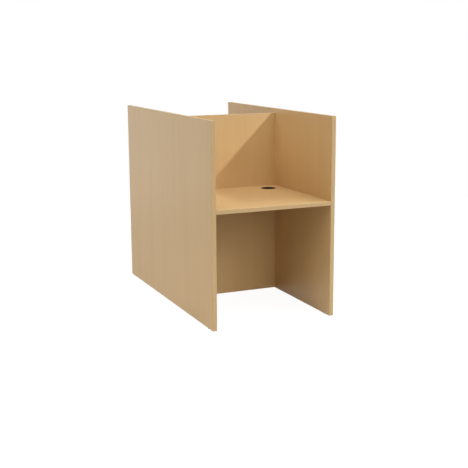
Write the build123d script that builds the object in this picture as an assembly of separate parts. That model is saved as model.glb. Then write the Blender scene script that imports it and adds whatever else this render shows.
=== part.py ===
from build123d import *
import math
import os

os.makedirs("parts", exist_ok=True)

# A two-sided study booth in millimetres. The origin is on the floor at the booth's centre,
# +X is to the right of a person seated at the front, +Y runs from front to rear and +Z is up.

# Overall sizes
booth_width = 828.0
booth_depth = 1612.0
booth_height = 1270.0
worktop_height = 742.0
divider_drop = 30.0

# Boards
panel_thickness = 28.0
worktop_thickness = 25.0
band_thickness = 3.0
band_radius = 2.0
hole_clearance = 0.1
hole_spare_depth = 1.0

# Housings: grooves that take the tongue of the next board and stop short of the edges that show
housing_depth = 6.0
housing_stop = 12.0
housing_clearance = 0.1
worktop_shoulder = 3.0

# Cam fittings: a drum in one board draws the head of a bolt that is screwed into the other board
drum_diameter = 15.0
drum_setback = 24.0
drum_below_axis = 5.5
drum_recess = 0.4
pocket_diameter = 9.8
pocket_offset = 1.1
way_in_turn = 50.0
bolt_head_diameter = 7.0
bolt_head_length = 2.4
bolt_diameter = 5.0
bolt_thread_length = 11.0
bolt_channel_diameter = 8.6
head_clearance = 0.3
drive_slot_width = 1.7
drive_slot_span = 7.4
drive_depth = 2.8

# Cover caps over the drums
cover_diameter = 17.6
cover_thickness = 1.2
cover_peg_length = 2.2
cover_peg_clearance = 0.1

# Places of the fittings along each joint
worktop_cam_inset = 90.0
divider_cam_height_shares = (0.1, 0.9)

# Cable grommets
grommet_hole_diameter = 89.0
grommet_from_panel = 110.0
grommet_from_divider = 122.0
flange_diameter = 102.0
flange_thickness = 2.6
flange_edge_thickness = 1.0
flange_crown_width = 3.0
sleeve_depth = 20.0
sleeve_wall = 1.8
sleeve_rib_count = 6
sleeve_rib_height = 0.6
sleeve_rib_width = 1.6
ledge_width = 2.2
ledge_thickness = 1.6
cap_thickness = 2.2
cap_edge_chamfer = 0.5
cap_clearance = 0.35
cap_seat_gap = 0.3
skirt_depth = 8.0
skirt_wall = 1.6
mouth_width = 32.0
mouth_depth = 20.0
mouth_corner_radius = 6.0
hook_count = 3
hook_width = 9.0
hook_reach = 0.8
hook_height = 1.6

# Levelling feet
foot_stand = 5.0
foot_inset = 80.0
foot_travel = 12.0
pad_diameter = 24.0
pad_gap = 0.3
pad_floor = 1.3
pad_chamfer = 0.8
pad_clearance = 0.2
screw_diameter = 8.0
screw_spare_length = 4.0
screw_neck_diameter = 6.0
screw_disc_diameter = 10.0
screw_disc_thickness = 1.4
screw_hex_across_flats = 13.0
screw_hex_height = 4.0
insert_diameter = 16.0
insert_length = 16.0

# Room for cuts to run past the face that they start from
overrun = 1.0

# Places that follow from the sizes above
half_width = booth_width / 2
half_depth = booth_depth / 2
bay_half_width = half_width - panel_thickness
panel_middle_x = half_width - panel_thickness / 2
divider_face_y = panel_thickness / 2
divider_top = booth_height - divider_drop
worktop_middle_z = worktop_height - worktop_thickness / 2
worktop_depth = half_depth - divider_face_y
tongue_length = housing_depth - housing_clearance
tongue_thickness = worktop_thickness - worktop_shoulder
tongue_middle_z = worktop_height - worktop_thickness + tongue_thickness / 2
housed_half_width = bay_half_width + housing_depth
divider_tongue_top = divider_top - housing_stop
stem_length = insert_length + foot_travel + screw_spare_length
tube_radius = grommet_hole_diameter / 2 - sleeve_rib_height - hole_clearance
half_turn = Rot(Z=180)
standing = (Align.CENTER, Align.CENTER, Align.MIN)
hanging = (Align.CENTER, Align.CENTER, Align.MAX)


def round_bar(diameter, length, start=0.0):
    """A cylinder along +X that begins at the given x."""
    return Pos(X=start) * Rot(Y=90) * Cylinder(diameter / 2, length, align=standing)


def disc(diameter, height, base=0.0):
    """A cylinder along +Z that stands on the given z."""
    return Pos(Z=base) * Cylinder(diameter / 2, height, align=standing)


def write_node(name, solids):
    """One file for each node; identical loose pieces share theirs."""
    shape = Compound(children=solids) if isinstance(solids, list) else solids
    shape.label = name
    export_step(shape, f"parts/{name}.step")


# Edge bands


def band_profile(board_thickness):
    """The band's section: glue face at y = 0, both outer corners rounded."""
    outline = Rectangle(board_thickness, band_thickness, align=(Align.CENTER, Align.MIN))
    return fillet(outline.vertices().group_by(Axis.Y)[-1], band_radius)


def edge_band(board_thickness, length, eased=()):
    """A band along +Z from z = 0, facing +Y. Ends named in eased are rounded over, low or high."""
    band = extrude(band_profile(board_thickness), length)
    side = Rectangle(band_thickness, length, align=(Align.MIN, Align.MIN))
    outer = side.vertices().group_by(Axis.X)[-1].sort_by(Axis.Y)
    rounded = [outer[0 if end == "low" else -1] for end in eased]
    if rounded:
        side = fillet(rounded, band_radius)
        across = extrude(Plane.YZ * side, board_thickness / 2, both=True)
        band = band & across
    return band


def side_panel_bands(x):
    """Front, rear and top bands of the side panel whose middle is at x."""
    upright_length = booth_height - band_thickness - foot_stand
    upright = edge_band(panel_thickness, upright_length, ("low",))
    inset = half_depth - band_thickness
    front = Pos(x, -inset, foot_stand) * Rot(Z=180) * upright
    rear = Pos(x, inset, foot_stand) * upright
    crown = edge_band(panel_thickness, booth_depth, ("low", "high"))
    top = Pos(x, half_depth, booth_height - band_thickness) * Rot(X=90) * crown
    return {"front": front, "rear": rear, "top": top}


def divider_top_band():
    strip = edge_band(panel_thickness, 2 * bay_half_width)
    lying = Rot(Z=90) * Rot(X=90) * strip
    return Pos(-bay_half_width, 0, divider_top - band_thickness) * lying


def front_worktop_band():
    strip = edge_band(worktop_thickness, 2 * bay_half_width)
    lying = Rot(X=90) * Rot(Z=90) * Rot(X=90) * strip
    return Pos(-bay_half_width, band_thickness - half_depth, worktop_middle_z) * lying


# Joints between boards. Each place is a plane on the face of the board that takes the bolt: its X
# runs into the other board's edge, and its Z points out of the face that the drum is let into.


def worktop_cam_places():
    """At the front of both ends of the worktop, on the housing's floor, with the drum open downwards."""
    row = worktop_cam_inset - half_depth
    return [
        Plane((side * housed_half_width, row, worktop_middle_z), x_dir=(-side, 0, 0), z_dir=(0, 0, -1))
        for side in (-1, 1)
    ]


def divider_cam_places():
    """At both ends of the divider, on the housing's floor, with the drum open to the rear."""
    divider_height = divider_top - foot_stand
    heights = [foot_stand + share * divider_height for share in divider_cam_height_shares]
    return [
        Plane((side * housed_half_width, 0, height), x_dir=(-side, 0, 0), z_dir=(0, 1, 0))
        for side in (-1, 1)
        for height in heights
    ]


def turned(places):
    """The same places on the rear half, a half turn about the booth's centre."""
    return [Plane(half_turn * place.location) for place in places]


def placed(places, shape):
    return [place.location * shape for place in places]


# Cam fittings


def drum_height(board_thickness):
    return board_thickness / 2 + drum_below_axis - drum_recess


def cross_recess(top):
    """A driver's cross, sunk from the drum's outer face."""
    arm = Box(drive_slot_span, drive_slot_width, drive_depth, align=hanging)
    return Pos(Z=top) * (arm + Rot(Z=90) * arm)


def cam_drum(board_thickness):
    """The drum at its joint place: an off-centre pocket for the bolt's head, a slot for the bolt
    through the half that faces the joint, and a square way in for the head beside the bolt."""
    height = drum_height(board_thickness)
    body = disc(drum_diameter, height, -drum_below_axis)
    head_room = bolt_head_diameter + 2 * head_clearance
    pocket = Pos(X=pocket_offset) * disc(pocket_diameter, head_room, -head_room / 2)
    slot_height = bolt_diameter + 2 * head_clearance
    to_joint = (Align.MAX, Align.CENTER, Align.CENTER)
    slot = Box(drum_diameter, 2 * drum_diameter, slot_height, align=to_joint)
    way_in = Rot(Z=way_in_turn) * Box(drum_diameter, head_room, head_room, align=to_joint)
    body = body - pocket - slot - way_in - cross_recess(height - drum_below_axis)
    return Pos(X=drum_setback) * body


def bolt_head_face():
    """Where the head's back meets the pocket's wall, measured from the joint."""
    wall = math.sqrt((pocket_diameter / 2) ** 2 - (bolt_head_diameter / 2) ** 2)
    return drum_setback + pocket_offset - wall + head_clearance


def cam_bolt():
    """A turned bolt, with its smooth thread in the panel and its head in the drum."""
    head_at = bolt_head_face()
    outline = [
        (-bolt_thread_length, 0),
        (-bolt_thread_length, bolt_diameter / 2),
        (head_at, bolt_diameter / 2),
        (head_at, bolt_head_diameter / 2),
        (head_at + bolt_head_length, bolt_head_diameter / 2),
        (head_at + bolt_head_length, 0),
    ]
    return revolve(make_face(Polyline(*outline, close=True)), Axis.X)


def cam_cover(board_thickness):
    """A round cap on the board's face with a blade in one slot of the drum's cross."""
    face = board_thickness / 2
    cap = disc(cover_diameter, cover_thickness, face)
    span = drive_slot_span - 2 * cover_peg_clearance
    width = drive_slot_width - 2 * cover_peg_clearance
    blade = Box(span, width, cover_peg_length + drum_recess, align=hanging)
    return Pos(X=drum_setback) * (cap + Pos(Z=face) * blade)


def cam_board_cut(board_thickness):
    """The drum's blind hole and the bolt's channel, in the board with the drum."""
    bore = drum_diameter + 2 * hole_clearance
    depth = board_thickness / 2 + drum_below_axis
    sink = Pos(X=drum_setback) * disc(bore, depth + overrun, -drum_below_axis)
    return sink + round_bar(bolt_channel_diameter, drum_setback + overrun, -overrun)


def cam_panel_cut():
    """The thread's hole in the board that takes the bolt."""
    depth = bolt_thread_length + hole_spare_depth
    return round_bar(bolt_diameter + 2 * hole_clearance, depth + overrun, -depth)


# Levelling feet. Each is built on its own axis with the floor at z = 0.


def foot_places():
    """Under the front and rear ends of each side panel."""
    row = half_depth - foot_inset
    return {
        "left_front": Pos(-panel_middle_x, -row),
        "left_rear": Pos(-panel_middle_x, row),
        "right_front": Pos(panel_middle_x, -row),
        "right_rear": Pos(panel_middle_x, row),
    }


def hex_base():
    return foot_stand + pad_gap / 2


def insert_base():
    return hex_base() + screw_hex_height + pad_gap


def foot_pad():
    """A nylon pad that snaps over the disc on the screw's end and doesn't turn with it."""
    pad = disc(pad_diameter, foot_stand - pad_gap)
    pad = chamfer(pad.edges().group_by(Axis.Z)[-1], pad_chamfer)
    room = screw_disc_thickness + 2 * pad_clearance
    socket = disc(screw_disc_diameter + 2 * pad_clearance, room, pad_floor)
    throat = disc(screw_neck_diameter + 2 * pad_clearance, foot_stand, pad_floor)
    return pad - socket - throat


def foot_screw():
    """Disc and neck in the pad, a hexagon for the spanner, and the threaded stem."""
    disc_base = pad_floor + pad_clearance
    neck_base = disc_base + screw_disc_thickness
    end = disc(screw_disc_diameter, screw_disc_thickness, disc_base)
    neck = disc(screw_neck_diameter, hex_base() - neck_base, neck_base)
    hexagon = RegularPolygon(screw_hex_across_flats / 2, 6, major_radius=False)
    nut = Pos(Z=hex_base()) * extrude(hexagon, screw_hex_height)
    stem = disc(screw_diameter, stem_length, hex_base() + screw_hex_height)
    return end + neck + nut + stem


def foot_insert():
    """A steel bush pressed up into the board, above the hexagon."""
    bush = disc(insert_diameter, insert_length, insert_base())
    return bush - disc(screw_diameter + 2 * hole_clearance, insert_length, insert_base())


def foot_board_cut():
    """One bore for the hexagon, the bush and the stem above them."""
    stem_top = hex_base() + screw_hex_height + stem_length + hole_spare_depth
    return disc(insert_diameter + 2 * hole_clearance, stem_top)


# Cable grommets. Each is built on its own axis with the flange's underside at z = 0 and the cap's
# mouth towards +Y. The flange is let into the worktop as deep as its outer edge is thick.


def front_grommet_place():
    x = bay_half_width - grommet_from_panel
    y = -divider_face_y - grommet_from_divider
    return Pos(x, y, worktop_height - flange_edge_thickness)


def cap_radius():
    return tube_radius - sleeve_wall - cap_clearance


def ledge_top():
    return flange_thickness - cap_thickness - cap_seat_gap


def ledge_inner_radius():
    return cap_radius() + cap_clearance - ledge_width


def grommet_sleeve():
    """A flange let into the worktop, a tube through it, and a ledge inside for the cap."""
    bore_radius = tube_radius - sleeve_wall
    outline = [
        (bore_radius, flange_thickness),
        (bore_radius, ledge_top()),
        (ledge_inner_radius(), ledge_top()),
        (ledge_inner_radius(), ledge_top() - ledge_thickness),
        (bore_radius, ledge_top() - ledge_thickness),
        (bore_radius, -sleeve_depth),
        (tube_radius, -sleeve_depth),
        (tube_radius, 0),
        (flange_diameter / 2, 0),
        (flange_diameter / 2, flange_edge_thickness),
        (bore_radius + flange_crown_width, flange_thickness),
    ]
    body = revolve(Plane.XZ * make_face(Polyline(*outline, close=True)), Axis.Z)
    rib_depth = sleeve_rib_height + sleeve_wall / 2
    rib_outline = Rectangle(rib_depth, sleeve_rib_width, align=(Align.MAX, Align.CENTER))
    rib = Pos(X=tube_radius + sleeve_rib_height, Z=-sleeve_depth) * extrude(rib_outline, sleeve_depth)
    keep = disc(grommet_hole_diameter - 2 * hole_clearance, sleeve_depth, -sleeve_depth)
    ribs = [Rot(Z=turn * 360 / sleeve_rib_count) * rib for turn in range(sleeve_rib_count)]
    return body + [part & keep for part in ribs]


def cable_mouth():
    """The U-shaped way for cables, open at the cap's rim."""
    height = cap_thickness + skirt_depth + 2 * overrun
    outline = Rectangle(mouth_width, mouth_depth + overrun, align=(Align.CENTER, Align.MIN))
    outline = fillet(outline.vertices().group_by(Axis.Y)[0], mouth_corner_radius)
    base = flange_thickness - cap_thickness - skirt_depth - overrun
    return Pos(0, cap_radius() - mouth_depth, base) * extrude(outline, height)


def snap_hook(skirt_radius):
    """A barb on the skirt that catches under the sleeve's ledge."""
    top = ledge_top() - ledge_thickness - cap_seat_gap
    root = skirt_radius - skirt_wall / 2
    tip = skirt_radius + hook_reach
    outline = [(root, top), (tip, top), (skirt_radius, top - hook_height), (root, top - hook_height)]
    return extrude(Plane.XZ * make_face(Polyline(*outline, close=True)), hook_width / 2, both=True)


def grommet_board_cut():
    """The tube's hole through the worktop and the flange's rebate round it."""
    hole_depth = worktop_thickness - flange_edge_thickness + overrun
    hole = disc(grommet_hole_diameter, hole_depth, -hole_depth)
    return hole + disc(flange_diameter + 2 * hole_clearance, flange_edge_thickness + overrun)


def grommet_cap():
    """A disc flush with the flange, a skirt inside the ledge, snap hooks and the cable mouth."""
    top = flange_thickness
    plate = disc(2 * cap_radius(), cap_thickness, top - cap_thickness)
    plate = chamfer(plate.edges().group_by(Axis.Z)[-1], cap_edge_chamfer)
    skirt_radius = ledge_inner_radius() - cap_clearance
    skirt_base = top - cap_thickness - skirt_depth
    skirt = disc(2 * skirt_radius, skirt_depth, skirt_base)
    hollow = disc(2 * (skirt_radius - skirt_wall), skirt_depth, skirt_base)
    hooks = [
        Rot(Z=turn * 360 / hook_count - 90) * snap_hook(skirt_radius)
        for turn in range(hook_count)
    ]
    return plate + (skirt - hollow) + hooks - cable_mouth()


# Boards


def side_panel(side):
    """A laminated board on edge, grooved inside for both worktops and the divider."""
    core_depth = booth_depth - 2 * band_thickness
    core_height = booth_height - band_thickness - foot_stand
    board = Box(panel_thickness, core_depth, core_height, align=standing)
    board = Pos(X=side * panel_middle_x, Z=foot_stand) * board
    worktop_room = tongue_thickness + 2 * housing_clearance
    worktop_groove = Box(2 * housing_depth, 2 * (half_depth - housing_stop), worktop_room)
    divider_room = panel_thickness + 2 * housing_clearance
    divider_groove_top = divider_tongue_top + housing_clearance
    divider_groove = Box(2 * housing_depth, divider_room, divider_groove_top, align=standing)
    cuts = [Pos(side * bay_half_width, 0, tongue_middle_z) * worktop_groove]
    cuts += [Pos(X=side * bay_half_width) * divider_groove]
    cams = worktop_cam_places()
    cams = cams + turned(cams) + divider_cam_places()
    cuts += placed([place for place in cams if place.origin.X * side > 0], cam_panel_cut())
    name = "left" if side < 0 else "right"
    cuts += [foot_places()[f"{name}_{end}"] * foot_board_cut() for end in ("front", "rear")]
    return board - cuts


def divider():
    """The upright board between the two places, with a tongue at each end and a groove on each
    face for the worktops."""
    height = divider_top - band_thickness - foot_stand
    board = Box(2 * bay_half_width, panel_thickness, height, align=standing)
    tongued_width = 2 * (bay_half_width + tongue_length)
    board = board + Box(tongued_width, panel_thickness, divider_tongue_top - foot_stand, align=standing)
    board = Pos(Z=foot_stand) * board
    worktop_room = tongue_thickness + 2 * housing_clearance
    groove = Box(tongued_width + 2 * overrun, 2 * housing_depth, worktop_room)
    cuts = [Pos(0, face * divider_face_y, tongue_middle_z) * groove for face in (-1, 1)]
    cuts += placed(divider_cam_places(), cam_board_cut(panel_thickness))
    return board - cuts


def front_worktop():
    """The front worktop's board, behind its edge band, with the grommet's hole. Its tongues, at both
    ends and the rear, have a shoulder above them, so its upper face ends at the boards round it."""
    at_divider = (Align.CENTER, Align.MAX)
    tongued_width = 2 * (bay_half_width + tongue_length)
    tongued_depth = worktop_depth - housing_stop - housing_clearance
    outline = Rectangle(2 * bay_half_width, worktop_depth - band_thickness, align=at_divider)
    tongues = Rectangle(tongued_width, tongued_depth, align=at_divider)
    tongues += Rectangle(2 * bay_half_width, tongue_length, align=(Align.CENTER, Align.MIN))
    board = extrude(outline, worktop_thickness) + extrude(tongues, tongue_thickness)
    board = Pos(0, -divider_face_y, worktop_height - worktop_thickness) * board
    cuts = [front_grommet_place() * grommet_board_cut()]
    cuts += placed(worktop_cam_places(), cam_board_cut(worktop_thickness))
    return board - cuts


# Write the nodes

write_node("left_side_panel", side_panel(-1))
write_node("right_side_panel", side_panel(1))
write_node("divider", divider())
write_node("front_worktop", front_worktop())
write_node("rear_worktop", half_turn * front_worktop())

for name, x in (("left", -panel_middle_x), ("right", panel_middle_x)):
    for edge, band in side_panel_bands(x).items():
        write_node(f"{name}_panel_{edge}_band", band)
write_node("divider_top_band", divider_top_band())
write_node("front_worktop_band", front_worktop_band())
write_node("rear_worktop_band", half_turn * front_worktop_band())

sleeve = front_grommet_place() * grommet_sleeve()
cap = front_grommet_place() * grommet_cap()
write_node("front_grommet_sleeve", sleeve)
write_node("front_grommet_cap", cap)
write_node("rear_grommet_sleeve", half_turn * sleeve)
write_node("rear_grommet_cap", half_turn * cap)

cam_rows = {
    "front_worktop": (worktop_cam_places(), worktop_thickness),
    "rear_worktop": (turned(worktop_cam_places()), worktop_thickness),
    "divider": (divider_cam_places(), panel_thickness),
}
for name, (places, thickness) in cam_rows.items():
    write_node(f"{name}_cam_drums", placed(places, cam_drum(thickness)))
    write_node(f"{name}_cam_bolts", placed(places, cam_bolt()))
    write_node(f"{name}_cam_covers", placed(places, cam_cover(thickness)))

write_node("foot_inserts", [place * foot_insert() for place in foot_places().values()])
for name, place in foot_places().items():
    write_node(f"{name}_foot_screw", place * foot_screw())
    write_node(f"{name}_foot_pad", place * foot_pad())
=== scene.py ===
import math

import bmesh
import bpy
from mathutils import Matrix, Vector


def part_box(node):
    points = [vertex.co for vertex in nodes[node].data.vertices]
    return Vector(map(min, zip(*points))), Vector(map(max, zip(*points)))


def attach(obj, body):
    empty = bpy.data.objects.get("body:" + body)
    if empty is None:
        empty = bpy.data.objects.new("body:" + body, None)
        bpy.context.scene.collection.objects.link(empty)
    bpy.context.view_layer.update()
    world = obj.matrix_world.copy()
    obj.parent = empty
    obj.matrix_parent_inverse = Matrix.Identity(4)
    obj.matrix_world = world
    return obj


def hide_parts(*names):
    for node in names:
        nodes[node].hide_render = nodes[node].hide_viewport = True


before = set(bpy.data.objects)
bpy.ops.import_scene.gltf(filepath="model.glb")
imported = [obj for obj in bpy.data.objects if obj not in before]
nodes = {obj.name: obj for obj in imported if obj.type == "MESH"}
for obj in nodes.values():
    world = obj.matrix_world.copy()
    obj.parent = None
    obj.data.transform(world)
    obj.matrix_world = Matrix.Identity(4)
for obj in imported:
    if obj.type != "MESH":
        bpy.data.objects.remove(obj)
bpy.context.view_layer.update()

MM = 0.001
X, Y, Z = 0, 1, 2

# Camera, fitted to the booth's outline in the photograph: metres, degrees and millimetres
CAMERA_PLACE = Vector((-2.4499, -5.8043, 1.6996))
CAMERA_YAW, CAMERA_PITCH, CAMERA_ROLL = -23.541, -11.471, 0.331
CAMERA_LENS, CAMERA_FILM = 71.73, 36.0

# Key light: a long cool strip in the plane through the right panel's top edge, as far out as up.
# In front of the panel it runs from the near share of that reach to the far share of it.
KEY_REACH = 2.4
KEY_NEAR_SHARE, KEY_FAR_SHARE = 0.1, 2.9
KEY_WIDTH = 0.16
KEY_TILT = 45
KEY_POWER = 236.0
KEY_TINT = (0.94, 1.01, 1.10)

# Fill lights: soft ones from the left, the front and above, and a low one from the left rear that
# puts the sheen on the left panel's top. Azimuth 0 comes from the front, -90 from the left.
FILLS = {
    "left_rear_fill": {"azimuth": -163, "elevation": 5, "strength": 0.21},
    "left_fill": {"azimuth": -100, "elevation": 25, "strength": 0.75},
    "left_front_fill": {"azimuth": -60, "elevation": 35, "strength": 0.73},
    "front_fill": {"azimuth": 0, "elevation": 25, "strength": 0.89},
    "top_fill": {"azimuth": 0, "elevation": 85, "strength": 1.52},
}
FILL_WIDTH = 35
FILL_PLACE = (0, 0, 3)

# Floor: the colour that it throws back at the booth, and for the eye a faint grey that takes the
# shadow under a glow that brings it up to white
FLOOR_SIZE = 8.0
FLOOR_BOUNCE = (0.66, 0.66, 0.66)
FLOOR_FAINT = (0.16, 0.16, 0.16)
FLOOR_GLOW = 0.93
WHITE = (1.0, 1.0, 1.0)

# Boards, with the axis of each one's grain and the axis across its thickness
BOARDS = {
    "left_side_panel": (Z, X),
    "right_side_panel": (Z, X),
    "divider": (Z, Y),
    "front_worktop": (X, Z),
    "rear_worktop": (X, Z),
}
BOARD_SHIFT = (0.37, 0.53, 0.71)
SKIN = 0.7 * MM

# Edge bands, with the axis of each one's length
BANDS = {
    "left_panel_front_band": Z,
    "left_panel_rear_band": Z,
    "left_panel_top_band": Y,
    "right_panel_front_band": Z,
    "right_panel_rear_band": Z,
    "right_panel_top_band": Y,
    "divider_top_band": X,
    "front_worktop_band": X,
    "rear_worktop_band": X,
}

# Colours as they are seen in even light, linear
MAPLE = (0.606, 0.402, 0.185)
MAPLE_LIGHT = (0.640, 0.437, 0.209)
MAPLE_DARK = (0.552, 0.353, 0.153)
CORE = (0.47, 0.33, 0.19)
CORE_CHIP = (0.60, 0.45, 0.28)
BLACK = (0.003, 0.003, 0.0033)
ZINC = (0.46, 0.47, 0.48)
STEEL = (0.58, 0.59, 0.60)
NYLON = (0.030, 0.030, 0.032)
BAND_SHADE = 0.81
PALE_SHADE, DULL_SHADE = 1.6, 0.82

# Printed maple: noises with their scales in cells a metre across the grain, and the shares of them
# that are left along it. A range is the part of a noise that is spread over a finish, and the
# share after it is how much that adds.
TONE_NOISE = {"scale": 9.0, "detail": 3.0, "roughness": 0.45, "distortion": 0.8}
STREAK_NOISE = {"scale": 95.0, "detail": 4.0, "roughness": 0.6}
FLECK_NOISE = {"scale": 520.0, "detail": 3.0, "roughness": 0.6}
LONG_SHARE, SHORT_SHARE = 0.055, 0.22
TONE_RANGE, STREAK_RANGE, FLECK_RANGE = (0.30, 0.70), (0.42, 0.72), (0.54, 0.72)
MIDDLE_SHARE, STREAK_SHARE, FLECK_SHARE = 0.72, 0.16, 0.42
SHEEN_RANGE = (0.3, 0.8)
BOARD_ROUGHNESS, BAND_ROUGHNESS = (0.36, 0.42), (0.46, 0.54)
BOARD_RELIEF, BAND_RELIEF = 0.04 * MM, 0.03 * MM
BOARD_GLOSS, BAND_GLOSS = 0.22, 0.4
CHIP_SCALE, CORE_ROUGHER = 420.0, 0.4

# Moulded plastic and plated metal, with the spread about the roughness of each
HAZE_NOISE, SPARK_NOISE = {"scale": 60.0}, {"scale": 1400.0}
CLOUD_NOISE = {"scale": 110.0, "detail": 4.0, "roughness": 0.6}
SPARK_RELIEF = 0.05 * MM
EVEN_RANGE = (0.3, 0.7)
PLASTIC_SPREAD, METAL_SPREAD = (-0.05, 0.08), (-0.06, 0.1)
GROMMET_ROUGHNESS, GROMMET_GLOSS = 0.60, 0.08
COVER_ROUGHNESS, NYLON_ROUGHNESS, USUAL_GLOSS = 0.45, 0.5, 0.5
ZINC_ROUGHNESS, STEEL_ROUGHNESS = 0.38, 0.28

# All sizes of the fittings are in millimetres, each within its CAD solid.
# Grommet sleeve: the flange, the tube below it with its ribs, and the ledge in its bore
GROMMET_STEPS = 96
FLANGE_EDGE, FLANGE_CROWN, FLANGE_BULGE = 1.0, 3.0, 0.25
TUBE_WALL, TUBE_RIB, TUBE_RIBS = 1.8, 0.6, 6
LEDGE_WIDTH, LEDGE_THICKNESS = 2.2, 1.6
SLEEVE_ROUND = 0.22

# Grommet cap: the crowned disc, its skirt, the mouth for the cables and the snap hooks
CAP_THICKNESS, CAP_CLEARANCE, CAP_SEAT = 2.2, 0.35, 0.3
CAP_FLAT_SHARE, CAP_FALL, CAP_EDGE, CAP_EDGE_WIDTH = 0.55, 0.06, 0.5, 1.5
CAP_ROUND, CAP_SHARP_ANGLE = 0.2, 40
SKIRT_DEPTH, SKIRT_WALL = 8.0, 1.6
MOUTH_WIDTH, MOUTH_DEPTH, MOUTH_CORNER, MOUTH_STEPS = 32.0, 20.0, 6.0, 8
MOUTH_OVERRUN = 2
HOOK_WIDTH, HOOK_REACH, HOOK_HEIGHT, HOOK_ROUND = 9.0, 0.8, 1.6, 0.15
HOOK_TURNS = (-90, 30, 150)

# Cover cap: shares of its radius and thickness from the rim inwards, and the blade below it
COVER_RADIUS, COVER_THICKNESS, COVER_ROUND, COVER_STEPS = 8.8, 1.2, 0.12, 48
COVER_SHARES = ((1, 0), (1, 0.55), (0.93, 0.9), (0.7, 1))
COVER_SHARP_ANGLE, COVER_SMOOTH_ANGLE = 50, 60
BLADE_LENGTH, BLADE_THICKNESS, BLADE_DEPTH, BLADE_ROUND = 7.2, 1.5, 2.6, 0.15
BLADE_LAP, BLADE_TIP_SHARES = 0.2, (0.86, 0.75, 1)

# Cam bolt: heights are above the joint plane, the thread is below it
BOLT_SHANK, BOLT_ROOT, BOLT_PITCH, BOLT_THREAD = 4.95, 3.8, 1.8, 11.0
BOLT_HEAD, BOLT_HEAD_AT, BOLT_LENGTH, BOLT_LAP = 7.0, 21.97, 24.37, 0.4
BOLT_ROUND, BOLT_STEPS = 0.3, 32

# Threads: the root, rise, crest and fall of one turn, and how far below the bar the first turn
# starts, as shares of the pitch
THREAD_SHARES, THREAD_START_SHARE = (0.15, 0.3, 0.2, 0.35), 1.5
THREAD_STEPS, THREAD_SPARE_TURNS, THREAD_END_STEPS = 24, 2, 48
THREAD_ROOM, THREAD_OVERRUN, THREAD_TIP = 0.1, 1, 0.01
THREAD_SMOOTH_ANGLE = 50

# Foot pad, with the socket for the screw's disc
PAD_RADIUS, PAD_HEIGHT, PAD_FLOOR = 12.0, 4.7, 1.3
TREAD_ROUND, TREAD_CORNER = 1.2, 0.35
SHOULDER_ROUND, SHOULDER_IN, SHOULDER_DOWN = 1.6, 0.8, 0.3
SOCKET_ROOM, PAD_ROUND, PAD_STEPS = 0.2, 0.2, 64

# Foot screw: the disc and neck, the hexagon and the threaded stem
DISC_RADIUS, DISC_THICKNESS, NECK_RADIUS, DISC_ROUND, DISC_STEPS = 5.0, 1.4, 3.0, 0.25, 48
HEX_SIDES, HEX_FLATS, HEX_HEIGHT, HEX_BASE, HEX_LAP = 6, 13.0, 4.0, 5.15, 0.3
HEX_CHAMFER, HEX_FACE_SHARE, HEX_STEPS, HEX_SMOOTH_ANGLE = 0.8, 0.95, 72, 20
STEM_DIAMETER, STEM_ROOT, STEM_PITCH, STEM_LENGTH = 7.9, 6.6, 1.25, 32.0

# Foot bush: the bore with a chamfer at each end, and the barbs above a plain lead
BUSH_RADIUS, BUSH_BORE, BUSH_LENGTH, BUSH_STEPS = 8.0, 4.1, 16.0, 64
BORE_LOWER_CHAMFER, BORE_UPPER_CHAMFER = 0.5, 0.4
BUSH_LOWER_CHAMFER, BUSH_UPPER_CHAMFER = 0.3, 0.4
BUSH_LEAD, BUSH_BARBS = 1.0, 5
BARB_DEPTH, BARB_STEP, BARB_FULL_SHARE = 0.45, 0.05, 0.75

# Modelling: angles in degrees, how far a picked face's normal points along an axis or leans from
# the level, and the distance in metres within which two points are one
SMOOTH_ANGLE, SHARP_ANGLE, ROUND_STEPS = 35, 30, 2
FACING, LEANING = 0.9, 0.1
WELD = 1e-6


def span(name, axis):
    """A node's lowest and highest place along one axis, in metres."""
    low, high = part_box(name)
    return low[axis], high[axis]


# Node materials


def add_node(tree, kind, inputs, **settings):
    """A new node with its settings, and its inputs joined to other nodes or set to plain values."""
    node = tree.nodes.new(kind)
    for name, value in settings.items():
        setattr(node, name, value)
    for name, value in inputs.items():
        feed(tree, node.inputs[name], value)
    return node


def feed(tree, socket, value):
    """Joins a socket to another node's, or sets it to a number, a place or a colour."""
    if isinstance(value, bpy.types.NodeSocket):
        tree.links.new(value, socket)
    elif socket.type == "RGBA":
        socket.default_value = (*value, 1.0)
    else:
        socket.default_value = value


def times(factor, values):
    """Each value of a colour or a place, times one factor."""
    return tuple(factor * value for value in values)


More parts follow.
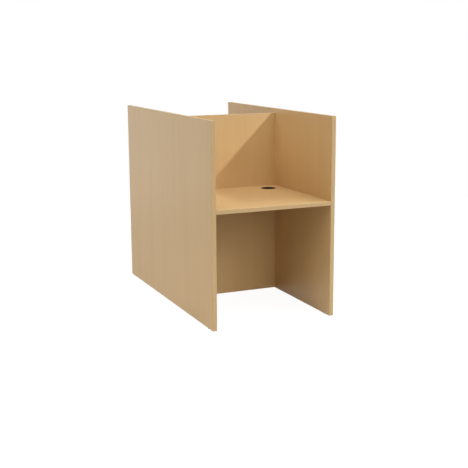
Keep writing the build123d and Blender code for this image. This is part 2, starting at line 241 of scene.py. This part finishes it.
class Finish:
    """A new material's node tree, with short calls that add nodes to it."""

    def __init__(self, name):
        self.material = bpy.data.materials.new(name)
        self.material.use_nodes = True
        self.tree = self.material.node_tree
        self.shader = self.tree.nodes["Principled BSDF"]
        self.place = add_node(self.tree, "ShaderNodeTexCoord", {}).outputs["Object"]

    def along(self, axis):
        """One coordinate of the place."""
        return add_node(self.tree, "ShaderNodeSeparateXYZ", {"Vector": self.place}).outputs[axis]

    def drawn_out(self, axis, share, shift):
        """The place for a pattern that keeps a share of its scale along one axis, and is shifted."""
        scale = [1.0, 1.0, 1.0]
        scale[axis] = share
        inputs = {"Vector": self.place, "Location": shift, "Scale": scale}
        return add_node(self.tree, "ShaderNodeMapping", inputs).outputs["Vector"]

    def noise(self, place, scale, detail=2.0, roughness=0.5, distortion=0.0):
        inputs = {"Vector": place, "Scale": scale, "Detail": detail, "Roughness": roughness,
                  "Distortion": distortion}
        return add_node(self.tree, "ShaderNodeTexNoise", inputs).outputs["Fac"]

    def chips(self, scale):
        """A random value for each cell of a broken pattern."""
        cells = add_node(self.tree, "ShaderNodeTexVoronoi", {"Vector": self.place, "Scale": scale})
        colour = {"Color": cells.outputs["Color"]}
        return add_node(self.tree, "ShaderNodeSeparateColor", colour).outputs["Red"]

    def math(self, operation, first, second=0.0):
        made = add_node(self.tree, "ShaderNodeMath", {0: first, 1: second}, operation=operation)
        return made.outputs["Value"]

    def spread(self, value, old, new=(0.0, 1.0)):
        """A value whose old range is spread over a new one, and held at its ends."""
        inputs = {"Value": value, "From Min": old[0], "From Max": old[1], "To Min": new[0], "To Max": new[1]}
        return add_node(self.tree, "ShaderNodeMapRange", inputs).outputs["Result"]

    def blend(self, share, first, second):
        """A mix of two colours by a share from 0 to 1."""
        inputs = {"Factor": share, "A": first, "B": second}
        return add_node(self.tree, "ShaderNodeMix", inputs, data_type="RGBA").outputs["Result"]

    def bump(self, height, relief):
        made = add_node(self.tree, "ShaderNodeBump", {"Height": height, "Distance": relief})
        self.set("Normal", made.outputs["Normal"])

    def set(self, name, value):
        """Sets or joins one of the shader's own sockets."""
        feed(self.tree, self.shader.inputs[name], value)


def maple_grain(finish, grain_axis, shift, shade=1.0):
    """Colour and a fine height of the printed maple, its grain along one axis of the place."""
    dark, middle, light = (times(shade, tone) for tone in (MAPLE_DARK, MAPLE, MAPLE_LIGHT))
    long_marks = finish.drawn_out(grain_axis, LONG_SHARE, shift)
    short_marks = finish.drawn_out(grain_axis, SHORT_SHARE, shift)
    tone = finish.noise(long_marks, **TONE_NOISE)
    streaks = finish.noise(long_marks, **STREAK_NOISE)
    flecks = finish.noise(short_marks, **FLECK_NOISE)
    warm = finish.blend(finish.spread(tone, TONE_RANGE), dark, light)
    body = finish.blend(MIDDLE_SHARE, warm, middle)
    lined = finish.blend(finish.spread(streaks, STREAK_RANGE, (0.0, STREAK_SHARE)), body, dark)
    flecked = finish.blend(finish.spread(flecks, FLECK_RANGE, (0.0, FLECK_SHARE)), lined, dark)
    return flecked, flecks


def board_laminate(name):
    """Maple melamine on both faces of a chip core, which shows where the board is cut or bored."""
    grain_axis, thin_axis = BOARDS[name]
    finish = Finish(f"{name}_laminate")
    shift = times(list(BOARDS).index(name), BOARD_SHIFT)
    face_colour, flecks = maple_grain(finish, grain_axis, shift)
    low, high = span(name, thin_axis)
    depth = finish.math("ABSOLUTE", finish.math("SUBTRACT", finish.along(thin_axis), (low + high) / 2))
    in_core = finish.math("LESS_THAN", depth, (high - low) / 2 - SKIN)
    core = finish.blend(finish.chips(CHIP_SCALE), CORE, CORE_CHIP)
    finish.set("Base Color", finish.blend(in_core, face_colour, core))
    satin = finish.spread(flecks, SHEEN_RANGE, BOARD_ROUGHNESS)
    finish.set("Roughness", finish.math("ADD", satin, finish.math("MULTIPLY", in_core, CORE_ROUGHER)))
    finish.set("Specular IOR Level", BOARD_GLOSS)
    finish.bump(flecks, BOARD_RELIEF)
    return finish.material


def band_plastic(name):
    """The same maple, darker, as a plastic strip with the grain along its length."""
    finish = Finish(f"{name}_plastic")
    low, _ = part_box(name)
    colour, flecks = maple_grain(finish, BANDS[name], tuple(low), BAND_SHADE)
    finish.set("Base Color", colour)
    finish.set("Roughness", finish.spread(flecks, SHEEN_RANGE, BAND_ROUGHNESS))
    finish.set("Specular IOR Level", BAND_GLOSS)
    finish.bump(flecks, BAND_RELIEF)
    return finish.material


def moulded_plastic(name, colour, pale, roughness, gloss=USUAL_GLOSS):
    """Plastic with a fine spark-eroded texture and a paler haze."""
    finish = Finish(name)
    sparks = finish.noise(finish.place, **SPARK_NOISE)
    haze = finish.noise(finish.place, **HAZE_NOISE)
    finish.set("Base Color", finish.blend(finish.spread(haze, EVEN_RANGE), colour, pale))
    roughnesses = [roughness + more for more in PLASTIC_SPREAD]
    finish.set("Roughness", finish.spread(sparks, EVEN_RANGE, roughnesses))
    finish.set("Specular IOR Level", gloss)
    finish.bump(sparks, SPARK_RELIEF)
    return finish.material


def plated_metal(name, colour, roughness):
    """Zinc-plated or cast metal with a faint cloud in its tone and gloss."""
    finish = Finish(name)
    cloud = finish.noise(finish.place, **CLOUD_NOISE)
    dull = times(DULL_SHADE, colour)
    finish.set("Base Color", finish.blend(finish.spread(cloud, EVEN_RANGE), dull, colour))
    roughnesses = [roughness + more for more in METAL_SPREAD]
    finish.set("Roughness", finish.spread(cloud, EVEN_RANGE, roughnesses))
    finish.set("Metallic", 1.0)
    return finish.material


# Boards, bands and cam drums, which stay as the CAD made them


def dress(name, material):
    """Puts one finish all over a node."""
    mesh = nodes[name].data
    mesh.materials.clear()
    mesh.materials.append(material)


def dress_nodes(zinc):
    for name in BOARDS:
        dress(name, board_laminate(name))
    for name in BANDS:
        dress(name, band_plastic(name))
    for name in nodes:
        if name.endswith("cam_drums"):
            dress(name, zinc)


# Modelling


def deselect():
    bpy.ops.object.select_all(action="DESELECT")


def take(piece):
    """Selects one piece alone."""
    deselect()
    piece.select_set(True)
    bpy.context.view_layer.objects.active = piece


def open_mesh(piece):
    """Puts one piece alone into edit mode."""
    take(piece)
    bpy.ops.object.mode_set(mode="EDIT")


def close_mesh(piece, smooth_angle=SMOOTH_ANGLE):
    """Turns all faces outwards, leaves edit mode and smooths the gentle edges."""
    bpy.ops.mesh.select_all(action="SELECT")
    bpy.ops.mesh.normals_make_consistent(inside=False)
    bpy.ops.object.mode_set(mode="OBJECT")
    bpy.ops.object.shade_smooth_by_angle(angle=math.radians(smooth_angle))
    return piece


def pick(kind, test):
    """Selects the open piece's vertices, edges or faces that pass a test."""
    bpy.ops.mesh.select_all(action="DESELECT")
    bpy.ops.mesh.select_mode(type=kind)
    mesh = bmesh.from_edit_mesh(bpy.context.object.data)
    mesh.normal_update()
    for element in {"VERT": mesh.verts, "EDGE": mesh.edges, "FACE": mesh.faces}[kind]:
        element.select_set(test(element))
    bmesh.update_edit_mesh(bpy.context.object.data)


def bevel(width, steps=ROUND_STEPS):
    """Rounds the picked edges."""
    bpy.ops.mesh.bevel(offset=width * MM, segments=steps, affect="EDGES")


def round_sharp(width, angle=SHARP_ANGLE):
    """Rounds the open piece's edges that are sharper than an angle."""
    bpy.ops.mesh.select_all(action="DESELECT")
    bpy.ops.mesh.select_mode(type="EDGE")
    bpy.ops.mesh.edges_select_sharp(sharpness=math.radians(angle))
    bevel(width)


def lathe(name, profile, steps, ring=False):
    """A turned piece about the Z axis, drawn out from its first radius and height in millimetres,
    and left open in edit mode. Its two ends are filled, or joined where it is a ring."""
    deselect()
    radius, height = profile[0]
    bpy.ops.mesh.primitive_circle_add(vertices=steps, radius=radius * MM)
    piece = bpy.context.object
    piece.name = name
    bpy.ops.object.mode_set(mode="EDIT")
    bpy.ops.transform.translate(value=(0, 0, height * MM))
    for next_radius, next_height in profile[1:]:
        bpy.ops.mesh.extrude_region_move()
        grow = next_radius / radius
        bpy.ops.transform.resize(value=(grow, grow, 1), center_override=(0, 0, 0))
        bpy.ops.transform.translate(value=(0, 0, (next_height - height) * MM))
        radius, height = next_radius, next_height
    bpy.ops.mesh.select_all(action="DESELECT")
    bpy.ops.mesh.select_mode(type="EDGE")
    bpy.ops.mesh.select_non_manifold()
    if ring:
        bpy.ops.mesh.bridge_edge_loops()
    else:
        bpy.ops.mesh.fill_holes(sides=0)
    bpy.ops.mesh.select_all(action="SELECT")
    bpy.ops.mesh.normals_make_consistent(inside=False)
    return piece


def block(name, low, high):
    """A box between two corners in millimetres, left open in edit mode."""
    deselect()
    bpy.ops.mesh.primitive_cube_add(size=1)
    piece = bpy.context.object
    piece.name = name
    bpy.ops.object.mode_set(mode="EDIT")
    bpy.ops.transform.resize(value=[(b - a) * MM for a, b in zip(low, high)])
    bpy.ops.transform.translate(value=[(a + b) / 2 * MM for a, b in zip(low, high)])
    return piece


def cut(piece, tool, operation):
    """Cuts a piece by a tool, or keeps what the two share, and takes the tool away."""
    take(piece)
    modifier = piece.modifiers.new("cut", "BOOLEAN")
    modifier.operation = operation
    modifier.object = tool
    bpy.ops.object.modifier_apply(modifier=modifier.name)
    bpy.data.objects.remove(tool)


def joined(name, pieces):
    """Several pieces as one."""
    take(pieces[0])
    if len(pieces) > 1:
        for piece in pieces:
            piece.select_set(True)
        bpy.ops.object.join()
    pieces[0].name = name
    return pieces[0]


def copies(name, pattern, places):
    """One piece with a copy of the pattern's mesh at each place."""
    made = []
    for place in places:
        copy = pattern.copy()
        copy.data = pattern.data.copy()
        copy.data.transform(place)
        bpy.context.collection.objects.link(copy)
        made.append(copy)
    return joined(name, made)


def fit_out(piece, body, finish, node):
    """Gives a finished piece its body and its finish, and hides the CAD node it stands for."""
    piece.data.materials.clear()
    piece.data.materials.append(finish)
    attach(piece, body)
    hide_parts(node)


def threaded_bar(name, major, minor, pitch, length):
    """A bar from z = 0 up with a right-handed trapezoid thread and a chamfered top."""
    deselect()
    bpy.ops.mesh.primitive_plane_add(size=MM)
    bar = bpy.context.object
    bar.name = name
    bpy.ops.object.mode_set(mode="EDIT")
    bpy.ops.mesh.select_mode(type="VERT")
    bpy.ops.mesh.select_all(action="SELECT")
    bpy.ops.mesh.merge(type="CENTER")
    bpy.ops.transform.translate(value=(minor / 2 * MM, 0, 0))
    depth = (major - minor) / 2
    for out, share in zip((0, depth, 0, -depth), THREAD_SHARES):
        step = (out * MM, 0, share * pitch * MM)
        bpy.ops.mesh.extrude_region_move(TRANSFORM_OT_translate={"value": step})
    bpy.ops.object.mode_set(mode="OBJECT")
    helix = bar.modifiers.new("helix", "SCREW")
    helix.screw_offset = pitch * MM
    helix.iterations = math.ceil(length / pitch) + THREAD_SPARE_TURNS
    helix.steps = helix.render_steps = THREAD_STEPS
    bpy.ops.object.modifier_apply(modifier=helix.name)
    open_mesh(bar)
    bpy.ops.mesh.select_all(action="SELECT")
    bpy.ops.mesh.remove_doubles(threshold=WELD)
    bpy.ops.transform.translate(value=(0, 0, -THREAD_START_SHARE * pitch * MM))
    for height, facing in ((0, -1), (length, 1)):
        bpy.ops.mesh.select_all(action="SELECT")
        bpy.ops.mesh.bisect(plane_co=(0, 0, height * MM), plane_no=(0, 0, facing), use_fill=True,
                            clear_outer=True, threshold=WELD)
    close_mesh(bar)
    wide = major / 2 + THREAD_ROOM
    chamfer = depth + THREAD_ROOM
    profile = [(wide, -THREAD_OVERRUN), (wide, length - chamfer), (wide - chamfer, length + THREAD_TIP)]
    cut(bar, close_mesh(lathe("envelope", profile, THREAD_END_STEPS)), "INTERSECT")
    open_mesh(bar)
    return close_mesh(bar, THREAD_SMOOTH_ANGLE)


# Cable grommets, built with the flange's underside at z = 0 and the mouth towards +Y. What is worked
# out from the frame is in millimetres here, but for the seat.


def flange_seat():
    """The height in metres of the rebate in the worktops that holds the flanges."""
    return span("front_worktop", Z)[1] - FLANGE_EDGE * MM


def sleeve_depth():
    """How far the tube goes down from the flange's underside."""
    return (flange_seat() - span("front_grommet_sleeve", Z)[0]) / MM


def flange_height():
    """How far the flange rises above its underside."""
    low, high = span("front_grommet_sleeve", Z)
    return (high - low) / MM - sleeve_depth()


def radius_of(name):
    """Half a round node's width."""
    low, high = span(name, X)
    return (high - low) / 2 / MM


def bore_radius():
    return radius_of("front_grommet_cap") + CAP_CLEARANCE


def ledge_radius():
    return bore_radius() - LEDGE_WIDTH


def ledge_top():
    return flange_height() - CAP_THICKNESS - CAP_SEAT


def sleeve_pattern():
    """A rounded flange, a ribbed tube and the ledge that the cap sits on."""
    bore, ledge = bore_radius(), ledge_radius()
    tube, crown = bore + TUBE_WALL, bore + FLANGE_CROWN
    rim, top, depth = radius_of("front_grommet_sleeve"), flange_height(), sleeve_depth()
    ledge_base = ledge_top() - LEDGE_THICKNESS
    profile = [
        (bore, top), (bore, ledge_top()), (ledge, ledge_top()), (ledge, ledge_base), (bore, ledge_base),
        (bore, -depth), (tube, -depth), (tube, 0), (rim, 0), (rim, FLANGE_EDGE),
        ((rim + crown) / 2, (FLANGE_EDGE + top) / 2 + FLANGE_BULGE), (crown, top),
    ]
    sleeve = lathe("grommet_sleeve_pattern", profile, GROMMET_STEPS, ring=True)
    step = math.tau / GROMMET_STEPS
    rib_angles = [math.tau * turn / TUBE_RIBS + step / 2 for turn in range(TUBE_RIBS)]

    def on_rib(face):
        """One step of the tube's outside wall at each rib, below the flange."""
        middle = face.calc_center_median()
        outside = middle.xy.length > (bore + tube) / 2 * MM and middle.z < -depth / 4 * MM
        angle = math.atan2(middle.y, middle.x) % math.tau
        near = any(abs(angle - rib) < step / 4 for rib in rib_angles)
        return outside and near and abs(face.normal.z) < LEANING

    pick("FACE", on_rib)
    bpy.ops.mesh.inset(thickness=TUBE_RIB * MM, use_individual=True)
    bpy.ops.mesh.extrude_region_move()
    grow = (tube + TUBE_RIB) / tube
    bpy.ops.transform.resize(value=(grow, grow, 1), center_override=(0, 0, 0))
    round_sharp(SLEEVE_ROUND)
    return close_mesh(sleeve)


def hook_pattern(skirt, turn):
    """A barb that catches under the ledge, its lower edge drawn back to the skirt."""
    top = ledge_top() - LEDGE_THICKNESS - CAP_SEAT
    low = (skirt - SKIRT_WALL / 2, -HOOK_WIDTH / 2, top - HOOK_HEIGHT)
    hook = block("hook", low, (skirt + HOOK_REACH, HOOK_WIDTH / 2, top))
    middle = top - HOOK_HEIGHT / 2
    pick("FACE", lambda face: face.normal.x > FACING)
    bevel(HOOK_ROUND)
    pick("VERT", lambda vertex: vertex.co.x > skirt * MM and vertex.co.z < middle * MM)
    bpy.ops.transform.translate(value=(-HOOK_REACH * MM, 0, 0))
    close_mesh(hook)
    hook.data.transform(Matrix.Rotation(math.radians(turn), 4, "Z"))
    return hook


def mouth_tool(rim, base, top):
    """The slot for the cables, open at the rim, with its two inner corners rounded."""
    low = (-MOUTH_WIDTH / 2, rim - MOUTH_DEPTH, base - SKIRT_DEPTH - MOUTH_OVERRUN)
    mouth = block("mouth", low, (MOUTH_WIDTH / 2, rim + MOUTH_DEPTH, top + MOUTH_OVERRUN))

    def inner_corner(edge):
        first, second = (vertex.co for vertex in edge.verts)
        return abs(first.z - second.z) > SKIRT_DEPTH * MM and first.y < rim * MM

    pick("EDGE", inner_corner)
    bevel(MOUTH_CORNER, MOUTH_STEPS)
    return close_mesh(mouth)


def cap_pattern():
    """A faintly crowned disc with a skirt, snap hooks and a rounded mouth for the cables."""
    top, rim = flange_height(), radius_of("front_grommet_cap")
    skirt = ledge_radius() - CAP_CLEARANCE
    inside = skirt - SKIRT_WALL
    base = top - CAP_THICKNESS
    foot = base - SKIRT_DEPTH
    profile = [
        (rim * CAP_FLAT_SHARE, top), (rim - CAP_EDGE_WIDTH, top - CAP_FALL), (rim, top - CAP_EDGE),
        (rim, base), (skirt, base), (skirt, foot), (inside, foot), (inside, base),
    ]
    cap = close_mesh(lathe("grommet_cap_pattern", profile, GROMMET_STEPS))
    cut(cap, mouth_tool(rim, base, top), "DIFFERENCE")
    open_mesh(cap)
    round_sharp(CAP_ROUND, CAP_SHARP_ANGLE)
    close_mesh(cap)
    return joined("grommet_cap_pattern", [cap] + [hook_pattern(skirt, turn) for turn in HOOK_TURNS])


def grommet_place(end):
    low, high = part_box(f"{end}_grommet_sleeve")
    turn = Matrix.Rotation(0 if end == "front" else math.pi, 4, "Z")
    return Matrix.Translation(((low.x + high.x) / 2, (low.y + high.y) / 2, flange_seat())) @ turn


def fit_grommets(black):
    patterns = {"sleeve": sleeve_pattern(), "cap": cap_pattern()}
    for end in ("front", "rear"):
        bodies = {"sleeve": "carcass", "cap": f"{end}_grommet_cap_body"}
        for part, pattern in patterns.items():
            piece = copies(f"{end}_grommet_{part}_moulding", pattern, [grommet_place(end)])
            fit_out(piece, bodies[part], black, f"{end}_grommet_{part}")
    for pattern in patterns.values():
        bpy.data.objects.remove(pattern)


# Cam fittings: cover caps and bolts


def cover_pattern():
    """A low-crowned cap that stands on the board at z = 0, with the blade that holds it in the cam."""
    profile = [(COVER_RADIUS * across, COVER_THICKNESS * up) for across, up in COVER_SHARES]
    cap = lathe("cover_pattern", profile, COVER_STEPS)
    round_sharp(COVER_ROUND, COVER_SHARP_ANGLE)
    close_mesh(cap, COVER_SMOOTH_ANGLE)
    half_length, half_thickness = BLADE_LENGTH / 2, BLADE_THICKNESS / 2
    low = (-half_length, -half_thickness, -BLADE_DEPTH)
    blade = block("blade", low, (half_length, half_thickness, BLADE_LAP))
    pick("FACE", lambda face: face.normal.z < -FACING)
    bpy.ops.transform.resize(value=BLADE_TIP_SHARES, center_override=(0, 0, 0))
    round_sharp(BLADE_ROUND)
    return joined("cover_pattern", [cap, close_mesh(blade)])


def cover_places(row):
    """On the divider's rear face, or under the worktop."""
    low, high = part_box(f"{row}_cam_covers")
    inset = COVER_RADIUS * MM
    across, up = (low.x + inset, high.x - inset), (low.z + inset, high.z - inset)
    if row == "divider":
        face = span("divider", Y)[1]
        turn = Matrix.Rotation(math.radians(-90), 4, "X")
        return [Matrix.Translation((x, face, z)) @ turn for x in across for z in up]
    face = span(row, Z)[0]
    turn = Matrix.Rotation(math.radians(180), 4, "X")
    return [Matrix.Translation((x, (low.y + high.y) / 2, face)) @ turn for x in across]


def bolt_pattern():
    """A cam bolt along +Z, its joint plane at z = 0: coarse thread below, shank and head above."""
    thread = threaded_bar("bolt_thread", BOLT_SHANK, BOLT_ROOT, BOLT_PITCH, BOLT_THREAD)
    thread.data.transform(Matrix.Rotation(math.pi, 4, "X"))
    shank, head = BOLT_SHANK / 2, BOLT_HEAD / 2
    profile = [(shank, -BOLT_LAP), (shank, BOLT_HEAD_AT), (head, BOLT_HEAD_AT), (head, BOLT_LENGTH)]
    turned = lathe("bolt_turned", profile, BOLT_STEPS)
    round_sharp(BOLT_ROUND)
    return joined("bolt_pattern", [close_mesh(turned), thread])


def bolt_places(row):
    """In both ends of the board, each with its thread in the side panel."""
    low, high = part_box(f"{row}_cam_bolts")
    half = BOLT_HEAD / 2 * MM
    heights = (low.z + half, high.z - half) if row == "divider" else ((low.z + high.z) / 2,)
    y = (low.y + high.y) / 2
    from_left = Matrix.Rotation(math.radians(90), 4, "Y")
    from_right = Matrix.Rotation(math.radians(-90), 4, "Y")
    inset = BOLT_THREAD * MM
    ends = ((low.x + inset, from_left), (high.x - inset, from_right))
    return [Matrix.Translation((x, y, z)) @ turn for x, turn in ends for z in heights]


def fit_cams(cover_plastic, steel):
    cover, bolt = cover_pattern(), bolt_pattern()
    for row in ("front_worktop", "rear_worktop", "divider"):
        piece = copies(f"{row}_cam_cover_caps", cover, cover_places(row))
        fit_out(piece, "carcass", cover_plastic, f"{row}_cam_covers")
        piece = copies(f"{row}_cam_threaded_bolts", bolt, bolt_places(row))
        fit_out(piece, "carcass", steel, f"{row}_cam_bolts")
    bpy.data.objects.remove(cover)
    bpy.data.objects.remove(bolt)


# Levelling feet, built on their own axis with the floor at z = 0


def pad_pattern():
    """A moulded pad with a rounded tread and the socket for the screw's disc."""
    socket, throat = DISC_RADIUS + SOCKET_ROOM, NECK_RADIUS + SOCKET_ROOM
    ceiling = PAD_FLOOR + DISC_THICKNESS + 2 * SOCKET_ROOM
    profile = [
        (PAD_RADIUS - TREAD_ROUND, 0), (PAD_RADIUS - TREAD_CORNER, TREAD_CORNER), (PAD_RADIUS, TREAD_ROUND),
        (PAD_RADIUS, PAD_HEIGHT - SHOULDER_ROUND), (PAD_RADIUS - SHOULDER_IN, PAD_HEIGHT - SHOULDER_DOWN),
        (PAD_RADIUS - SHOULDER_ROUND, PAD_HEIGHT), (throat, PAD_HEIGHT), (throat, ceiling), (socket, ceiling),
        (socket, PAD_FLOOR),
    ]
    pad = lathe("pad_pattern", profile, PAD_STEPS)
    round_sharp(PAD_ROUND)
    return close_mesh(pad)


def disc_and_neck():
    """The captive disc that stands in the pad, and the neck up into the hexagon."""
    disc_base = PAD_FLOOR + SOCKET_ROOM
    neck_base = disc_base + DISC_THICKNESS
    profile = [(DISC_RADIUS, disc_base), (DISC_RADIUS, neck_base), (NECK_RADIUS, neck_base),
               (NECK_RADIUS, HEX_BASE + HEX_LAP)]
    end = lathe("disc_and_neck", profile, DISC_STEPS)
    round_sharp(DISC_ROUND)
    return close_mesh(end)


def hexagon():
    """The spanner's hexagon, its corners turned down at both ends."""
    deselect()
    half, top = HEX_FLATS / 2, HEX_BASE + HEX_HEIGHT
    half_side = math.pi / HEX_SIDES
    corner = half / math.cos(half_side)
    bpy.ops.mesh.primitive_cylinder_add(vertices=HEX_SIDES, radius=corner * MM, depth=HEX_HEIGHT * MM,
                                        rotation=(0, 0, half_side))
    piece = bpy.context.object
    piece.name = "hexagon"
    bpy.ops.transform.translate(value=(0, 0, (HEX_BASE + HEX_HEIGHT / 2) * MM))
    bpy.ops.object.transform_apply(location=True, rotation=True, scale=True)
    face = half * HEX_FACE_SHARE
    profile = [(face, HEX_BASE), (corner, HEX_BASE + HEX_CHAMFER), (corner, top - HEX_CHAMFER), (face, top)]
    cut(piece, close_mesh(lathe("envelope", profile, HEX_STEPS)), "INTERSECT")
    open_mesh(piece)
    return close_mesh(piece, HEX_SMOOTH_ANGLE)


def screw_pattern():
    """The levelling screw: disc, neck, hexagon and threaded stem."""
    end, spanner_part = disc_and_neck(), hexagon()
    stem = threaded_bar("stem", STEM_DIAMETER, STEM_ROOT, STEM_PITCH, STEM_LENGTH)
    stem.data.transform(Matrix.Translation((0, 0, (HEX_BASE + HEX_HEIGHT) * MM)))
    return joined("screw_pattern", [end, spanner_part, stem])


def bush_pattern():
    """A steel bush with barbed rings outside and a chamfered bore, its lower end at z = 0."""
    rise = (BUSH_LENGTH - BUSH_LEAD) / BUSH_BARBS
    profile = [
        (BUSH_BORE, BUSH_LENGTH - BORE_UPPER_CHAMFER), (BUSH_BORE, BORE_LOWER_CHAMFER),
        (BUSH_BORE + BORE_LOWER_CHAMFER, 0), (BUSH_RADIUS - BUSH_LOWER_CHAMFER, 0),
        (BUSH_RADIUS, BUSH_LOWER_CHAMFER), (BUSH_RADIUS, BUSH_LEAD),
    ]
    for barb in range(BUSH_BARBS):
        start = BUSH_LEAD + barb * rise
        profile.append((BUSH_RADIUS - BARB_DEPTH, start + BARB_STEP))
        profile.append((BUSH_RADIUS, start + rise * BARB_FULL_SHARE))
    profile.append((BUSH_RADIUS - BUSH_UPPER_CHAMFER, BUSH_LENGTH))
    profile.append((BUSH_BORE + BORE_UPPER_CHAMFER, BUSH_LENGTH))
    return close_mesh(lathe("bush_pattern", profile, BUSH_STEPS, ring=True))


def fit_feet(nylon, steel):
    pad, screw, bush = pad_pattern(), screw_pattern(), bush_pattern()
    spots = []
    for foot in ("left_front", "left_rear", "right_front", "right_rear"):
        low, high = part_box(f"{foot}_foot_pad")
        spot = Matrix.Translation(((low.x + high.x) / 2, (low.y + high.y) / 2, low.z))
        spots.append(spot)
        piece = copies(f"{foot}_foot_moulding", pad, [spot])
        fit_out(piece, f"{foot}_foot_pad_body", nylon, f"{foot}_foot_pad")
        piece = copies(f"{foot}_foot_threaded_screw", screw, [spot])
        fit_out(piece, f"{foot}_foot_screw_body", steel, f"{foot}_foot_screw")
    lift = Matrix.Translation((0, 0, span("foot_inserts", Z)[0]))
    piece = copies("foot_barbed_bushes", bush, [lift @ spot for spot in spots])
    fit_out(piece, "carcass", steel, "foot_inserts")
    for pattern in (pad, screw, bush):
        bpy.data.objects.remove(pattern)


# Floor, light and camera


def white_to_the_eye(tree, seen, unseen, output):
    """Joins one shader for what the camera sees, also mirrored or through something, and another
    for the light that falls on the booth."""
    path = add_node(tree, "ShaderNodeLightPath", {}).outputs
    to_the_eye = path["Is Camera Ray"]
    for other in ("Is Glossy Ray", "Is Transmission Ray"):
        either = add_node(tree, "ShaderNodeMath", {0: to_the_eye, 1: path[other]}, operation="MAXIMUM")
        to_the_eye = either.outputs["Value"]
    mix = add_node(tree, "ShaderNodeMixShader", {"Fac": to_the_eye, 1: unseen, 2: seen})
    tree.links.new(mix.outputs["Shader"], output)


def lay_floor():
    """A white floor that keeps a faint shadow under the booth."""
    bpy.ops.mesh.primitive_plane_add(size=FLOOR_SIZE)
    floor = bpy.context.object
    floor.name = "floor"
    material = bpy.data.materials.new("white_floor")
    material.use_nodes = True
    tree = material.node_tree
    tree.nodes.remove(tree.nodes["Principled BSDF"])
    bounce = add_node(tree, "ShaderNodeBsdfDiffuse", {"Color": FLOOR_BOUNCE}).outputs["BSDF"]
    faint = add_node(tree, "ShaderNodeBsdfDiffuse", {"Color": FLOOR_FAINT}).outputs["BSDF"]
    glow = add_node(tree, "ShaderNodeEmission", {"Strength": FLOOR_GLOW}).outputs["Emission"]
    seen = add_node(tree, "ShaderNodeAddShader", {0: faint, 1: glow}).outputs["Shader"]
    white_to_the_eye(tree, seen, bounce, tree.nodes["Material Output"].inputs["Surface"])
    floor.data.materials.append(material)


def whiten_the_room():
    """A world that is white to the eye and sheds no light."""
    world = bpy.data.worlds.new("white_room")
    bpy.context.scene.world = world
    world.use_nodes = True
    tree = world.node_tree
    unlit = tree.nodes["Background"]
    unlit.inputs["Strength"].default_value = 0.0
    seen = add_node(tree, "ShaderNodeBackground", {"Color": WHITE}).outputs["Background"]
    output = tree.nodes["World Output"].inputs["Surface"]
    white_to_the_eye(tree, seen, unlit.outputs["Background"], output)


def hang(name, thing, place, turn):
    """Puts a lamp or a camera into the scene."""
    holder = bpy.data.objects.new(name, thing)
    holder.matrix_world = Matrix.Translation(place) @ turn
    bpy.context.scene.collection.objects.link(holder)
    return holder


def hang_key():
    """The strip runs along Y, so the shadow of the right panel's top edge stays crisp."""
    inner, front = span("right_side_panel", X)[0], span("right_side_panel", Y)[0]
    top = span("right_panel_top_band", Z)[1]
    lamp = bpy.data.lights.new("key_strip", "AREA")
    lamp.shape = "RECTANGLE"
    lamp.size = KEY_WIDTH
    lamp.size_y = (KEY_FAR_SHARE - KEY_NEAR_SHARE) * KEY_REACH
    lamp.energy = KEY_POWER
    lamp.color = KEY_TINT
    middle = (KEY_NEAR_SHARE + KEY_FAR_SHARE) / 2 * KEY_REACH
    place = (inner + KEY_REACH, front - middle, top + KEY_REACH)
    hang("key_strip", lamp, place, Matrix.Rotation(math.radians(KEY_TILT), 4, "Y"))


def hang_fills():
    """Each lights the whole booth from one side, softened by its width in degrees."""
    for name, fill in FILLS.items():
        azimuth, elevation = math.radians(fill["azimuth"]), math.radians(fill["elevation"])
        flat = math.cos(elevation)
        travel = Vector((-math.sin(azimuth) * flat, math.cos(azimuth) * flat, -math.sin(elevation)))
        lamp = bpy.data.lights.new(name, "SUN")
        lamp.energy = fill["strength"]
        lamp.angle = math.radians(FILL_WIDTH)
        hang(name, lamp, FILL_PLACE, travel.to_track_quat("-Z", "Y").to_matrix().to_4x4())


def set_camera():
    camera = bpy.data.cameras.new("camera")
    camera.lens = CAMERA_LENS
    camera.sensor_width = CAMERA_FILM
    yaw = Matrix.Rotation(math.radians(CAMERA_YAW), 4, "Z")
    pitch = Matrix.Rotation(math.radians(CAMERA_PITCH), 4, "X")
    roll = Matrix.Rotation(math.radians(CAMERA_ROLL), 4, "Y")
    level = Matrix.Rotation(math.radians(90), 4, "X")
    bpy.context.scene.camera = hang("camera", camera, CAMERA_PLACE, yaw @ pitch @ roll @ level)
    bpy.context.scene.view_settings.view_transform = "Standard"


black = moulded_plastic("black_grommet_plastic", BLACK, times(PALE_SHADE, BLACK), GROMMET_ROUGHNESS,
                        GROMMET_GLOSS)
cover_plastic = moulded_plastic("maple_cover_plastic", MAPLE, MAPLE_LIGHT, COVER_ROUGHNESS)
nylon = moulded_plastic("dark_nylon", NYLON, times(PALE_SHADE, NYLON), NYLON_ROUGHNESS)
zinc = plated_metal("cast_zinc", ZINC, ZINC_ROUGHNESS)
steel = plated_metal("plated_steel", STEEL, STEEL_ROUGHNESS)
dress_nodes(zinc)
fit_grommets(black)
fit_cams(cover_plastic, steel)
fit_feet(nylon, steel)
lay_floor()
whiten_the_room()
hang_key()
hang_fills()
set_camera()
